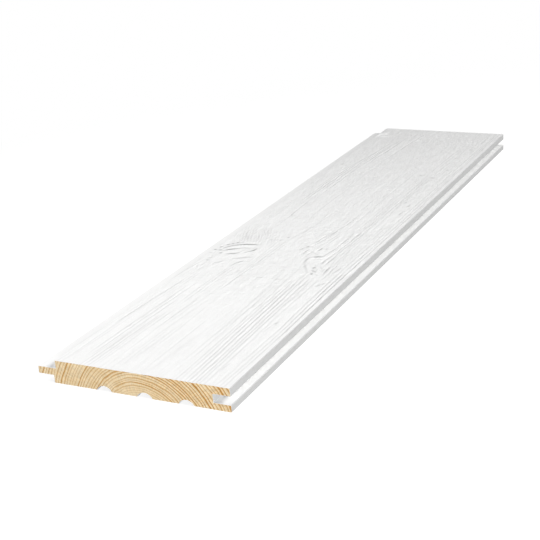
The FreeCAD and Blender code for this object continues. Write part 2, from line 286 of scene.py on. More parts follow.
# Cracks, ridges and pits: three points of a bow, half width, and depth, negative for a ridge.
Stroke = namedtuple("Stroke", "start middle end half_width depth")
STROKES = tuple(Stroke(*values) for values in (
    # the eye knot: the crack along its upper rim, the rings inside it and the marks round it
    ((-38.4, -63.6), (-30.8, -59.9), (-22.8, -58.3), 1.15, 1.25),
    ((-42.8, -70.4), (-41, -66.4), (-37.6, -63.4), 0.8, 0.8),
    ((-34.6, -57.2), (-30.6, -55.9), (-25.4, -55), 1, -0.8),
    ((-38.6, -68.6), (-33.6, -63.9), (-24.6, -62.3), 1.2, -0.9),
    ((-39.8, -74), (-36.8, -71), (-32.4, -68.7), 1, 1.25),
    ((-33.4, -69.2), (-29.6, -66.6), (-25, -66.4), 0.75, 0.6),
    ((-36, -75.6), (-33, -74.2), (-29.6, -72.6), 1.2, -0.6),
    ((-35.2, -80.2), (-31.8, -78.7), (-28.6, -76.2), 0.95, 1.15),
    ((-29.4, -76.8), (-28.2, -75), (-27.6, -72), 0.6, 0.45),
    ((-20.2, -65), (-21.1, -70.2), (-24.6, -73.8), 0.85, 1.1),
    ((-23.6, -73), (-24.6, -75), (-25.2, -77), 0.6, 0.5),
    ((-15.6, -81.2), (-21.4, -83.8), (-28.2, -88), 1, 0.55),
    ((-17.4, -88.8), (-19.4, -91.2), (-21.2, -95.4), 0.85, 0.5),
    ((-21, -94), (-21.6, -97), (-22.2, -101), 0.6, 0.4),
    ((-31, -92.4), (-33, -95.6), (-35.8, -98.6), 0.9, 0.45),
    ((-38, -86), (-28, -82), (-18, -70), 2.8, -0.55),
    ((-38.8, -58.5), (-38.3, -58.2), (-37.6, -57.7), 0.9, 0.95),
    ((-36, -56.8), (-35.2, -56.2), (-34.4, -55.7), 0.8, 0.75),
    ((-41.2, -61.3), (-40.5, -60.8), (-39.8, -60.2), 0.9, 0.95),
    ((-43.4, -64), (-42.7, -63.3), (-42, -62.6), 0.9, 0.95),
    ((-46, -69.2), (-45.5, -68.3), (-44.8, -67.2), 0.9, 0.9),
    ((-47.4, -75), (-46.8, -74.6), (-46, -74.4), 0.9, 0.85),
    ((-44, -74.6), (-43.2, -74.2), (-42.4, -74), 0.85, 0.9),
    ((-40.8, -79.8), (-40.2, -79.6), (-39.4, -79.4), 0.9, 0.85),
    ((-47.6, -81.4), (-47, -80.8), (-46.4, -80.4), 0.7, 0.4),
    ((-43.6, -90), (-43, -89.8), (-42.2, -89.5), 0.7, 0.45),
    ((-43.4, -94), (-42.4, -93.7), (-41.2, -93.6), 0.75, 0.5),
    ((-42.6, -77.4), (-41.6, -77), (-40.8, -76.4), 0.7, -0.45),
    ((-47, -88.6), (-46.2, -88), (-45.2, -87.6), 0.9, -0.4),
    # specks where the fan of fibres ends
    ((-19, -47.4), (-18.2, -47.1), (-17.2, -46.9), 0.75, 0.45),
    ((-14.8, -46.2), (-14.2, -45.8), (-13.6, -45.4), 0.75, 0.4),
    ((-11.8, -45.9), (-11.2, -45.4), (-10.6, -45), 0.75, 0.4),
    ((-9.4, -40.2), (-8.8, -39.2), (-8.6, -38), 0.75, 0.5),
    ((-21.8, -31.8), (-21.2, -31.2), (-20.6, -30.6), 0.75, 0.35),
    # the horn knot: its blunt head and outline, the spots down its point and the lines bent round it
    ((23.6, -69.5), (26, -69.3), (28.4, -68.1), 1.2, 1.15),
    ((22.2, -70.2), (21.2, -76), (22.2, -82.4), 0.75, 0.5),
    ((22.6, -82.6), (25.6, -88), (31.8, -98.6), 0.8, 0.32),
    ((23.4, -78.6), (24.6, -72.6), (30.8, -70), 0.95, -0.85),
    ((30.4, -69.8), (32.4, -66), (33.4, -56), 0.7, -0.7),
    ((26.4, -75.2), (28, -73.4), (30.4, -72.4), 0.6, 0.35),
    ((27.2, -78.6), (28.2, -78.2), (29.2, -77.6), 0.9, -0.35),
    ((30.2, -75.8), (31, -75.4), (31.8, -74.8), 0.8, -0.35),
    ((33.6, -74), (33.8, -78), (34, -82), 0.55, 0.4),
    ((37.6, -67), (37.4, -73), (37, -78.6), 0.55, 0.35),
    ((31.2, -89.2), (31.8, -88.2), (32.2, -87.2), 0.8, 0.9),
    ((32.6, -93), (33.3, -93.4), (34, -93.8), 0.7, 0.75),
    ((34.8, -94.4), (35.4, -94.7), (36, -95.2), 0.7, 0.7),
    ((34.2, -97.8), (34.7, -98.4), (35.4, -99), 0.8, 0.9),
    ((37.6, -99), (38.2, -99.3), (38.8, -99.6), 0.7, 0.5),
    ((41.3, -84), (41.4, -90), (42.2, -98), 0.55, 0.75),
    ((48.8, -84), (48.2, -89), (47.6, -95), 0.6, 0.45),
    ((32.4, -84.6), (37, -91.4), (42, -99.6), 0.5, -0.4),
    ((33.6, -83.6), (38.2, -90.4), (41.4, -95.6), 0.5, 0.22),
    ((46, -117), (46.6, -115.8), (47.4, -114.2), 0.8, 0.6),
    ((48.2, -113.6), (48.7, -112.4), (49, -111), 0.7, 0.5),
    ((38.4, -106.6), (40.8, -105.6), (43, -104.6), 1.2, -0.3),
    # zigzag fibres left of the horn
    ((12.4, -52.6), (11.9, -53.2), (11.2, -54), 0.85, 0.75),
    ((10.8, -55), (9.8, -57.6), (8.8, -61), 0.6, 0.5),
    ((15.4, -57.4), (14.4, -62), (13.8, -68.6), 0.6, 0.7),
    ((13.6, -58), (12.6, -63), (12.2, -70), 0.65, -0.7),
    ((18.2, -58.4), (16.8, -62.4), (16.4, -74), 0.65, -0.75),
    ((19.4, -60), (18.2, -65), (18.4, -74), 0.55, 0.4),
    ((12.6, -56), (15, -56.2), (17.8, -55.6), 0.85, -0.75),
    ((18.4, -61.6), (21, -63.6), (25, -65.6), 0.6, 0.35),
    ((22.2, -53.6), (22.3, -55.4), (21.6, -58), 0.65, 0.6),
    ((26.4, -52.4), (26, -53.6), (25.4, -55), 0.65, 0.45),
    # a cross ripple in the quiet middle
    ((1, -112.4), (5, -112.8), (10, -112.6), 1, 0.16),
    ((14, -112.8), (17, -113), (20, -112.6), 1.1, 0.22),
    ((10, -115.4), (15, -115.4), (23, -114.8), 0.9, -0.24),
    # the knot at the tongue side near the far end
    ((-44.4, 234.2), (-41.4, 234.4), (-38, 233.4), 1.3, 0.7),
    ((-45.4, 229.4), (-41.4, 230.2), (-37.4, 231), 2.2, -4.6),
    ((-47.5, 256), (-47, 248), (-47.2, 239), 1, 0.25),
    ((-43.6, 243), (-42.6, 240.6), (-40.6, 238.4), 1.3, -1.2),
    # small pits, bumps and pitch pockets
    ((47.4, -174), (46.8, -175.6), (46.2, -177.6), 0.75, 0.5),
    ((46, -180), (45.4, -184), (45, -190), 0.55, 0.28),
    ((46.4, -231), (45.6, -236), (45.6, -242), 0.5, 0.25),
    ((47.8, 49), (47.6, 46.8), (47.2, 44.6), 1, 0.38),
    ((48, 29.6), (48, 27.6), (47.8, 25.4), 0.9, 0.3),
    ((43, 56), (42.8, 53.6), (42.8, 51), 0.8, 0.4),
    ((40.6, 121.6), (41.4, 121), (42.4, 120.6), 1.5, -1),
    ((41, 118), (42, 117.4), (43, 117), 1.2, 0.45),
    ((46.2, 212.6), (47.1, 212), (48, 211.6), 1.7, -1),
    ((37.4, 220.6), (38.1, 220), (39, 219.6), 1.6, -0.9),
    ((45.2, 183.6), (46, 183), (46.8, 182.6), 1.5, -0.8),
    ((45.6, 145), (46.4, 144.4), (47.2, 144), 1.5, -0.8),
    ((46.6, 140.6), (47.2, 140), (47.8, 139.6), 1.3, 0.4),
    ((30.4, 122.6), (31, 122), (31.6, 121.4), 1.3, 0.4),
    ((-13.6, 204.2), (-12.9, 203.6), (-12.2, 203), 1.5, -0.8),
    ((-6.8, 223), (-6.7, 219.6), (-6.8, 216), 1.1, -0.8),
    ((-42.4, 135), (-42, 132.6), (-41.8, 130), 1.4, -0.7),
    ((-43, 141), (-42.6, 139), (-42.2, 137), 1.2, 0.25),
    ((46.6, 5.8), (47.6, 5.4), (48.6, 5.2), 1.5, -0.7),
    ((47, -8), (48.2, -8.2), (49.4, -8), 1.4, -0.8),
    ((44.8, 38.8), (45.8, 38.4), (46.8, 38.2), 1.4, -0.8),
))
STROKE_SAMPLE_STEP = 0.4
STROKE_SAMPLES = 3
STROKE_REACH = 3.0
STROKE_TAPER = 0.08
CRACK_DEPTH = 0.28
DISH_DEPTH = 1.10
KNOT_CALM = 0.6
KNOT_CALM_FADE = (0.7, 1.15)

# The fan of fine fibres that rises from the eye knot's upper rim.
FAN_X, FAN_Y = -33.0, -40.0
FAN_HALF_WIDTH, FAN_HALF_LENGTH = 17.0, 18.0
FAN_SLOPE = -0.35
FAN_SPACING = 2.2
FAN_DEPTH = 0.17
FAN_STRENGTH = 0.65
FAN_VARIATION = 0.8
FAN_MOST = 1.2
FAN_NOISE = Noise(5.0, 9.0, 22)
FAN_WOBBLE = 0.45
FAN_WOBBLE_NOISE = Noise(7.0, 14.0, 21)

# How deep each place of the face lies, as painted shade: the paint is made greyer in hollows and lighter
# on ridges.
PAINTED_SHADING_ATTRIBUTE = "painted_shading"
PAINTED_SHADE_GAIN = 0.62
LINE_PAINTED_SHADE = 0.45
LINE_PAINTED_SHADE_FAR_LOSS = 0.4
FAN_PAINTED_SHADE = 0.24
RIDGE_PAINTED_HIGHLIGHT = 0.10
MOTTLE_PAINTED_SHADING = 0.06

# The paint film, as it shows where the saw cut through it.
PAINT_FILM = 0.14
PAINT_FILM_VARIATION = 0.08
NEAR_FILM_NOISE = Noise(1.3, 1.1, 31)
FAR_FILM_NOISE = Noise(1.3, 1.1, 32)

# The materials' slots on the mesh. A texture is noise with cells per millimetre, or per radian round the
# pith, and a span goes from low to high as a value goes from start to end.
PAINT, BARE_WOOD = 0, 1
Texture = namedtuple("Texture", "scale detail roughness")
Span = namedtuple("Span", "start end low high")

# The white paint, with bumps on the brushed face, and painted shade on the planed lips of the groove.
FIBRE_TEXTURE = Texture((2.2, 0.09, 2.2), 3.0, 0.55)
SPECKLE_TEXTURE = Texture((0.50, 0.22, 0.50), 4.0, 0.6)
RIPPLE_TEXTURE = Texture((0.16, 0.36, 0.16), 2.0, 0.5)
CLOUD_TEXTURE = Texture((0.05, 0.02, 0.05), 3.0, 0.5)
CLOUD_LOW, CLOUD_HIGH = 0.3, 0.7
CLOUD_TONE = 0.985
FIBRE_BUMP, SPECKLE_BUMP, RIPPLE_BUMP = 0.12, 0.58, 0.30
PLANED_FIBRE_SHARE = 0.25
BRUSH_RISE_Y = Span(-215.0, -90.0, 0.30, 1.25)
BRUSH_FALL_Y = Span(60.0, 200.0, 1.0, 0.60)
PAINT_ROUGHNESS = 0.60
PAINT_ROUGHNESS_GAIN = 0.16
PAINT_SPECULAR = 0.03
# Painted shade on the lips' outer sides and arrises, eased off towards the far end, where less lamp
# light reaches.
LIP_PAINTED_SHADE = 0.285
LIP_SPECKLE = 0.16
LIP_DEPTH = 1.0
LIP_FACING = Span(0.05, 0.25, 0.0, 1.0)
LIP_FADE_Y = Span(-40.0, 230.0, 1.0, 0.87)

# The bare end grain. Colours are display colours, and tones are (place, level) stops of grey ramps.
WAVER_TEXTURE = Texture((0.16, 0.02, 0.16), 2.0, 0.5)
WAVER = 1.1
UNEVEN_TEXTURE = Texture((0.45, 0.6, 1.0), 1.0, 0.5)
UNEVENNESS = 1.7
LATE_WOOD_TONES = ((0.0, 0.30), (0.12, 0.0), (0.52, 0.10), (0.76, 0.90), (0.90, 1.0), (1.0, 0.30))
LATE_WOOD_LEAST = 0.45
LATE_WOOD_VARIATION = 0.80
LATE_WOOD_SIDES_X = Span(-25.0, 25.0, 0.80, 1.4)
LATE_WOOD_HEART = Span(18.0, 31.0, 0.45, 1.0)
LATE_WOOD = (196, 140, 58)
LATE_WOOD_BUMP = 0.06
BLOTCH_TEXTURE = Texture((0.14, 0.02, 0.2), 2.0, 0.5)
EARLY_WOOD_STOPS = ((0.35, (247, 228, 191)), (0.65, (241, 217, 174)))
RAY_TEXTURE = Texture((0.25, 55.0, 1.0), 2.0, 0.5)
RAY_TONES = ((0.36, 0.86), (0.64, 1.05))
PORE_TEXTURE = Texture((3.2, 0.3, 3.2), 3.0, 0.6)
PORE_TONES = ((0.30, 0.90), (0.60, 1.02))
PORE_BUMP = 0.08
WOOD_ROUGHNESS = 0.62
WOOD_ROUGHNESS_GAIN = 0.2
WOOD_SPECULAR = 0.2

# The camera, fitted to the board's corners in the photograph, with its clipping distances in metres.
CAMERA_EYE = (325.9, -720.0, 277.7)
CAMERA_TARGET = (-16.8, -54.8, -5.3)
CAMERA_ROLL = math.radians(-4.08)
CAMERA_LENS = 78.04
CAMERA_SENSOR = 36.0
CAMERA_CLIP = (0.01, 20.0)

# The light, and a floor that turns white away from the board. The floor's fade is in metres.
WORLD_LIGHT = 0.12
Lamp = namedtuple("Lamp", "name place aim size watts")
LAMPS = (
    Lamp("groove_side_softbox", (1300.0, -220.0, 1090.0), (0.0, -60.0, 0.0), 560.0, 22.0),
    Lamp("near_end_softbox", (500.0, -1500.0, 350.0), (0.0, -200.0, 0.0), 600.0, 16.3),
    Lamp("tongue_side_softbox", (-420.0, -160.0, 310.0), (0.0, -110.0, 0.0), 300.0, 1.22),
    Lamp("far_end_low_lamp", (120.0, 1600.0, 30.0), (0.0, 257.0, 7.0), 60.0, 14.0),
)
FLOOR_HALF_SIZE = 4000.0
FLOOR_BOUNCE = 0.25
FLOOR_ROUGHNESS = 0.9
FLOOR_SHADE = 0.35
FLOOR_GLOW = 0.80
FLOOR_STRETCH = (1.6, 1.0, 1.0)
FLOOR_FADE = Span(350.0 * MM, 700.0 * MM, 0.0, 1.0)


# Shape helpers

def unit(vector):
    return vector / np.linalg.norm(vector)


def smooth_step(low, high, value):
    share = np.clip((value - low) / (high - low), 0.0, 1.0)
    return share * share * (3 - 2 * share)


def window(value, start, end, fade):
    """One between start and end, and down to zero over fade outside them."""
    return smooth_step(start - fade, start, value) * (1 - smooth_step(end, end + fade, value))


def smooth_noise(x, y, noise):
    """Seeded value noise from -1 to 1."""
    lattice = np.random.default_rng(noise.seed).uniform(-1, 1, (LATTICE_SIZE, LATTICE_SIZE))
    across, along = x / noise.cell_x, y / noise.cell_y
    column, row = np.floor(across).astype(int), np.floor(along).astype(int)
    right_share, upper_share = smooth_step(0.0, 1.0, across - column), smooth_step(0.0, 1.0, along - row)
    left, right = column % LATTICE_SIZE, (column + 1) % LATTICE_SIZE
    lower, upper = row % LATTICE_SIZE, (row + 1) % LATTICE_SIZE
    near = lattice[left, lower] * (1 - right_share) + lattice[right, lower] * right_share
    far = lattice[left, upper] * (1 - right_share) + lattice[right, upper] * right_share
    return near * (1 - upper_share) + far * upper_share


def eased_corner(before, corner, after):
    """Points of a corner rounded by the arris radius, with one more point on the flat at each side."""
    before, corner, after = (np.array(point, float) for point in (before, corner, after))
    way_in, way_out = unit(corner - before), unit(after - corner)
    turn = math.acos(float(np.clip(way_in @ way_out, -1, 1)))
    tangent = ARRIS_RADIUS * math.tan(turn / 2)
    centre = corner + unit(way_out - way_in) * ARRIS_RADIUS / math.cos(turn / 2)
    first, last = corner - way_in * tangent, corner + way_out * tangent
    points = [first - way_in * ARRIS_MARGIN]
    for step in range(ARRIS_STEPS + 1):
        share = step / ARRIS_STEPS
        weight_first = math.sin((1 - share) * turn) / math.sin(turn)
        weight_last = math.sin(share * turn) / math.sin(turn)
        points.append(centre + (first - centre) * weight_first + (last - centre) * weight_last)
    points.append(last + way_out * ARRIS_MARGIN)
    return points


def channel_points(middle_x):
    """The round relief channel, from its right mouth edge over the crown to its left one."""
    radius = (CHANNEL_WIDTH ** 2 / 4 + CHANNEL_DEPTH ** 2) / (2 * CHANNEL_DEPTH)
    half_angle = math.asin(CHANNEL_WIDTH / 2 / radius)
    angles = np.linspace(half_angle, -half_angle, CHANNEL_STEPS + 1)
    centre_z = BACK_Z + CHANNEL_DEPTH - radius
    return [np.array((middle_x + radius * math.sin(angle), centre_z + radius * math.cos(angle)))
            for angle in angles]


def section_columns():
    """The section's points: the face with its arrises, from left to right, and the rest, on round."""
    face_left, face_right = (FACE_LEFT_X, FACE_PLANE_Z), (EDGE_X, FACE_PLANE_Z)
    roof_edge, roof_root = (EDGE_X, GROOVE_ROOF_Z), (GROOVE_X, GROOVE_ROOF_Z)
    floor_root, floor_edge = (GROOVE_X, GROOVE_FLOOR_Z), (EDGE_X, GROOVE_FLOOR_Z)
    back_right, back_left = (EDGE_X, BACK_Z), (SHOULDER_X, BACK_Z)
    low_root, low_tip = (SHOULDER_X, TONGUE_LOW_Z), (TIP_X, TONGUE_LOW_Z)
    top_tip, top_root = (TIP_X, TONGUE_TOP_Z), (FACE_LEFT_X + SHOULDER_UNDERCUT, TONGUE_TOP_Z)

    left_arris = eased_corner(top_root, face_left, face_right)
    right_arris = eased_corner(face_left, face_right, roof_edge)
    flat_start, flat_end = left_arris[-1][0], right_arris[0][0]
    flat_count = round((flat_end - flat_start) / COLUMN_WIDTH)
    flat = [np.array((x, FACE_PLANE_Z)) for x in np.linspace(flat_start, flat_end, flat_count + 1)[1:-1]]
    face = left_arris + flat + right_arris

    sides = eased_corner(face_right, roof_edge, roof_root) + [np.array(roof_root), np.array(floor_root)]
    sides += eased_corner(floor_root, floor_edge, back_right)
    sides += eased_corner(floor_edge, back_right, back_left)
    for number in range(CHANNEL_COUNT):
        offset = ((CHANNEL_COUNT - 1) / 2 - number) * CHANNEL_PITCH
        sides += channel_points(CHANNEL_MIDDLE_X + offset)
    sides += eased_corner(back_right, back_left, low_root) + [np.array(low_root)]
    sides += eased_corner(low_root, low_tip, top_tip) + eased_corner(low_tip, top_tip, top_root)
    sides += [np.array(top_root)]
    return np.array(face), np.array(sides)


def row_places():
    """Places along the length of the face's rows, closer together at the knots."""
    places = np.linspace(NEAR_Y, FAR_Y, ROW_SAMPLES)
    fine = sum(window(places, start, end, KNOT_ROWS_FADE) for start, end in KNOT_ROWS_Y)
    density = 1 / ROW_LENGTH + fine * (1 / KNOT_ROW_LENGTH - 1 / ROW_LENGTH)
    count = np.concatenate(([0.0], np.cumsum((density[1:] + density[:-1]) / 2 * np.diff(places))))
    rows = round(count[-1] / ROWS_PER_SIDE_ROW) * ROWS_PER_SIDE_ROW
    return np.interp(np.linspace(0, count[-1], rows + 1), count, places)


# Relief of the face

def knot_place(knot, x, y):
    """How far a point is from the knot's middle, where its rim is at 1."""
    cosine, sine = math.cos(knot.turn), math.sin(knot.turn)
    along = ((x - knot.x) * cosine + (y - knot.y) * sine) / knot.half_length
    across = ((y - knot.y) * cosine - (x - knot.x) * sine) / knot.half_width
    return np.hypot(along, across)


def straight_grain(x, y):
    """Where a point of the face lies across the grain, with lean, sway and bends taken out."""
    sway = GRAIN_SWAY * np.sin(2 * math.pi * (y - GRAIN_SWAY_START_Y) / GRAIN_SWAY_LENGTH)
    across = x - GRAIN_LEAN * y - sway
    for knot in KNOTS:
        nearness = np.exp(-(knot_place(knot, x, y) / GRAIN_BEND_REACH) ** 2)
        across = across - GRAIN_BEND * (x - knot.x) * nearness
    return across


def ring_radius(x, z):
    stretch = np.where(x > PITH_X, RING_STRETCH_RIGHT, RING_STRETCH_LEFT)
    return np.hypot((x - PITH_X) / stretch, z - PITH_Z)


def far_share(y):
    """Nought at the near end and one at the far end."""
    return (y - NEAR_Y) / (FAR_Y - NEAR_Y)


def beading(x, y):
    """Uneven strength along the grain lines, more so towards the far end."""
    return 1 + BEADING * far_share(y) * smooth_noise(x, y, BEADING_NOISE)


def ring_line_strength(x, y, across, ring):
    """How strong the line of each ring is at a point of the face."""
    side = (across > PITH_X).astype(int)
    own = np.random.default_rng(RING_SEED).uniform(*RING_STRENGTHS, (2, RING_LIMIT))[side, ring]
    along = RING_ALONG + RING_ALONG_VARIATION * smooth_noise(across, y, RING_ALONG_NOISE)
    along = np.clip(along, 0.0, RING_ALONG_MOST)
    quiet = window(across, PITH_X - QUIET_HALF_WIDTH, PITH_X + QUIET_HALF_WIDTH, QUIET_FADE)
    quiet = quiet * smooth_step(*QUIET_RISE_Y, y)
    close_lines = smooth_step(*CLOSE_LINES_RISE_X, x) * (1 - smooth_step(*CLOSE_LINES_FALL_Y, y))
    stood_for = np.maximum(close_lines, smooth_step(*GROOVE_LINES_RISE_X, x))
    strength = RING_LINE_STRENGTH * (own * (1 - RING_CALM * stood_for))
    strength = strength * along * beading(x, y) * (1 - RING_CALM * quiet)
    return strength * (1 - RING_FAR_LOSS * far_share(y))


def grain_relief(x, y):
    """Height of ring lines, fibres and mottle, then the ring lines and the mottle by themselves."""
    across = straight_grain(x, y)
    wander = RING_WANDER * smooth_noise(across, y, RING_WANDER_NOISE)
    phase = RING_COUNT_SCALE * ring_radius(across + wander, FACE_Z) ** RING_COUNT_POWER
    ring = np.floor(phase).astype(int)
    share = phase - ring
    strength = ring_line_strength(x, y, across, ring)
    line = strength * np.exp(-((share - RING_LINE_MIDDLE) / RING_LINE_SHARE) ** 2)
    lines = -LINE_DEPTH * line - strength * RING_STEP_DEPTH * (1 - share)
    fibres = FIBRE_DEPTH * smooth_noise(across, y, FIBRE_NOISE)
    rise = MOTTLE_NEAR + MOTTLE_GAIN * smooth_step(*MOTTLE_RISE_Y, y)
    spots = smooth_noise(x, y, MOTTLE_NOISE) + FINE_MOTTLE_SHARE * smooth_noise(x, y, FINE_MOTTLE_NOISE)
    mottle = rise * spots / MOTTLE_SPREAD
    slow = SLOW_DEPTH * smooth_noise(across, y, SLOW_NOISE)
    return lines + fibres + MOTTLE_DEPTH * mottle + slow, line, mottle


def line_place(line, y):
    """Where a grain line lies across the board, on a bow through its three points."""
    near, middle, far = line.near, line.middle, line.far
    place = 0
    for own, first, second in ((near, middle, far), (middle, far, near), (far, near, middle)):
        whole = (own[1] - first[1]) * (own[1] - second[1])
        place = place + own[0] * (y - first[1]) * (y - second[1]) / whole
    return place


def line_relief(x, y):
    """Depth of the grain lines of the table and height of the ridges beside them, as shares."""
    depth, ridge = np.zeros_like(x), np.zeros_like(x)
    for number, line in enumerate(GRAIN_LINES):
        wander = LINE_WANDER * smooth_noise(0 * x + LINE_WANDER_STEP * number, y, LINE_WANDER_NOISE)
        away = (x - line_place(line, y) - wander) / LINE_HALF_WIDTH
        start, end = line.near[1] + LINE_FADE / 2, line.far[1] - LINE_FADE / 2
        uneven = smooth_noise(0 * x + LINE_VARIATION_STEP * number, y, LINE_NOISE)
        rise = smooth_step(NEAR_Y, NEAR_Y + LINE_NEAR_FADE, y)
        along = line.strength * window(y, start, end, LINE_FADE) * (1 + LINE_VARIATION * uneven)
        along = along * (LINE_NEAR_SHARE + (1 - LINE_NEAR_SHARE) * rise)
        depth = np.maximum(depth, along * np.exp(-away ** 2))
        ridge = np.maximum(ridge, along * np.exp(-((np.abs(away) - RIM_DISTANCE) / RIM_WIDTH) ** 2))
    beads = beading(x, y)
    return depth * beads, ridge * beads * (1 - np.clip(depth, 0, 1))


def fan_relief(x, y):
    """Fine fibres above the eye knot, slanting away: their height, and the hollows between them."""
    dx, dy = x - FAN_X, y - FAN_Y
    inside = np.exp(-(((dx - FAN_SLOPE * dy) / FAN_HALF_WIDTH) ** 2 + (dy / FAN_HALF_LENGTH) ** 2) ** 2)
    strength = FAN_STRENGTH + FAN_VARIATION * smooth_noise(x, y, FAN_NOISE)
    inside = inside * np.clip(strength, 0.0, FAN_MOST)
    wobble = FAN_WOBBLE * smooth_noise(x, y, FAN_WOBBLE_NOISE)
    wave = np.sin(2 * math.pi * ((dx - FAN_SLOPE * dy) / FAN_SPACING + wobble))
    return FAN_DEPTH * inside * wave, inside * np.clip(-wave, 0, 1)


def stroke_relief(stroke, x, y, aside=0.0):
    """A crack or ridge on a bow through three points, tapering to its ends, or the same moved aside."""
    start, middle, end = (np.array(point) for point in (stroke.start, stroke.middle, stroke.end))
    ahead = unit(end - start)
    beside = np.array((ahead[1], -ahead[0]))
    start, middle, end = (point + beside * aside * stroke.half_width for point in (start, middle, end))
    bend = 2 * middle - (start + end) / 2
    length = np.linalg.norm(middle - start) + np.linalg.norm(end - middle)
    samples = STROKE_SAMPLES + math.ceil(length / (STROKE_SAMPLE_STEP * stroke.half_width))
    relief = np.zeros_like(x)
    reach = STROKE_REACH * stroke.half_width
    corners = np.array((start, middle, end))
    near = np.all([(value > corners[:, axis].min() - reach) & (value < corners[:, axis].max() + reach)
                   for axis, value in enumerate((x, y))], axis=0)
    near_x, near_y = x[near], y[near]
    depth = np.zeros_like(near_x)
    for share in np.linspace(0, 1, samples):
        point = start * (1 - share) ** 2 + bend * 2 * share * (1 - share) + end * share ** 2
        taper = math.sin(math.pi * (STROKE_TAPER + (1 - 2 * STROKE_TAPER) * share))
        distance = np.hypot(near_x - point[0], near_y - point[1])
        depth = np.maximum(depth, taper * np.exp(-(distance / stroke.half_width) ** 2))
    relief[near] = stroke.depth * depth
    return relief


def face_relief(x, y):
    """Height of the face over its plane, never above the CAD face, and how deep each place is, as
    painted shade.
    """
    grain, ring_lines, mottle = grain_relief(x, y)
    fan, fan_lines = fan_relief(x, y)
    lines, line_ridges = line_relief(x, y)
    calm = np.ones_like(x)
    for knot in KNOTS:
        calm = calm * (1 - KNOT_CALM * (1 - smooth_step(*KNOT_CALM_FADE, knot_place(knot, x, y))))
    cracks = sum(stroke_relief(stroke, x, y) for stroke in STROKES)
    rims = sum(stroke_relief(stroke, x, y, side * RIM_DISTANCE)
               for stroke in STROKES if stroke.depth > 0 for side in (-1, 1))
    height = (grain + fan) * calm - CRACK_DEPTH * (cracks - RIM_SHARE * rims)
    height = height - LINE_DEPTH * (lines - RIM_SHARE * line_ridges)
    height = height - DISH_DEPTH * np.exp(-knot_place(EDGE_KNOT, x, y) ** 2)
    inset = np.minimum(x - FACE_LEFT_X, EDGE_X - x) - ARRIS_RADIUS
    height = height * (EDGE_KEEP + (1 - EDGE_KEEP) * smooth_step(0.0, EDGE_CALM, inset))
    # Painted highlight on ridges and painted shade in cracks, lines and the fan, for the paint's colour.
    ridges = np.clip(RIM_SHARE * rims + line_ridges - np.minimum(cracks, 0), 0, 1)
    line_painted_shade = LINE_PAINTED_SHADE * (1 - LINE_PAINTED_SHADE_FAR_LOSS * far_share(y))
    painted_shading = np.maximum(cracks, 0) + line_painted_shade * (lines + ring_lines * calm) + FAN_PAINTED_SHADE * fan_lines
    painted_shading = painted_shading - MOTTLE_PAINTED_SHADING * mottle
    painted_shading = np.clip(painted_shading - RIDGE_PAINTED_HIGHLIGHT * ridges, -RIDGE_PAINTED_HIGHLIGHT, 1.0)
    return np.minimum(height, FACE_Z - FACE_PLANE_Z), painted_shading


# Mesh

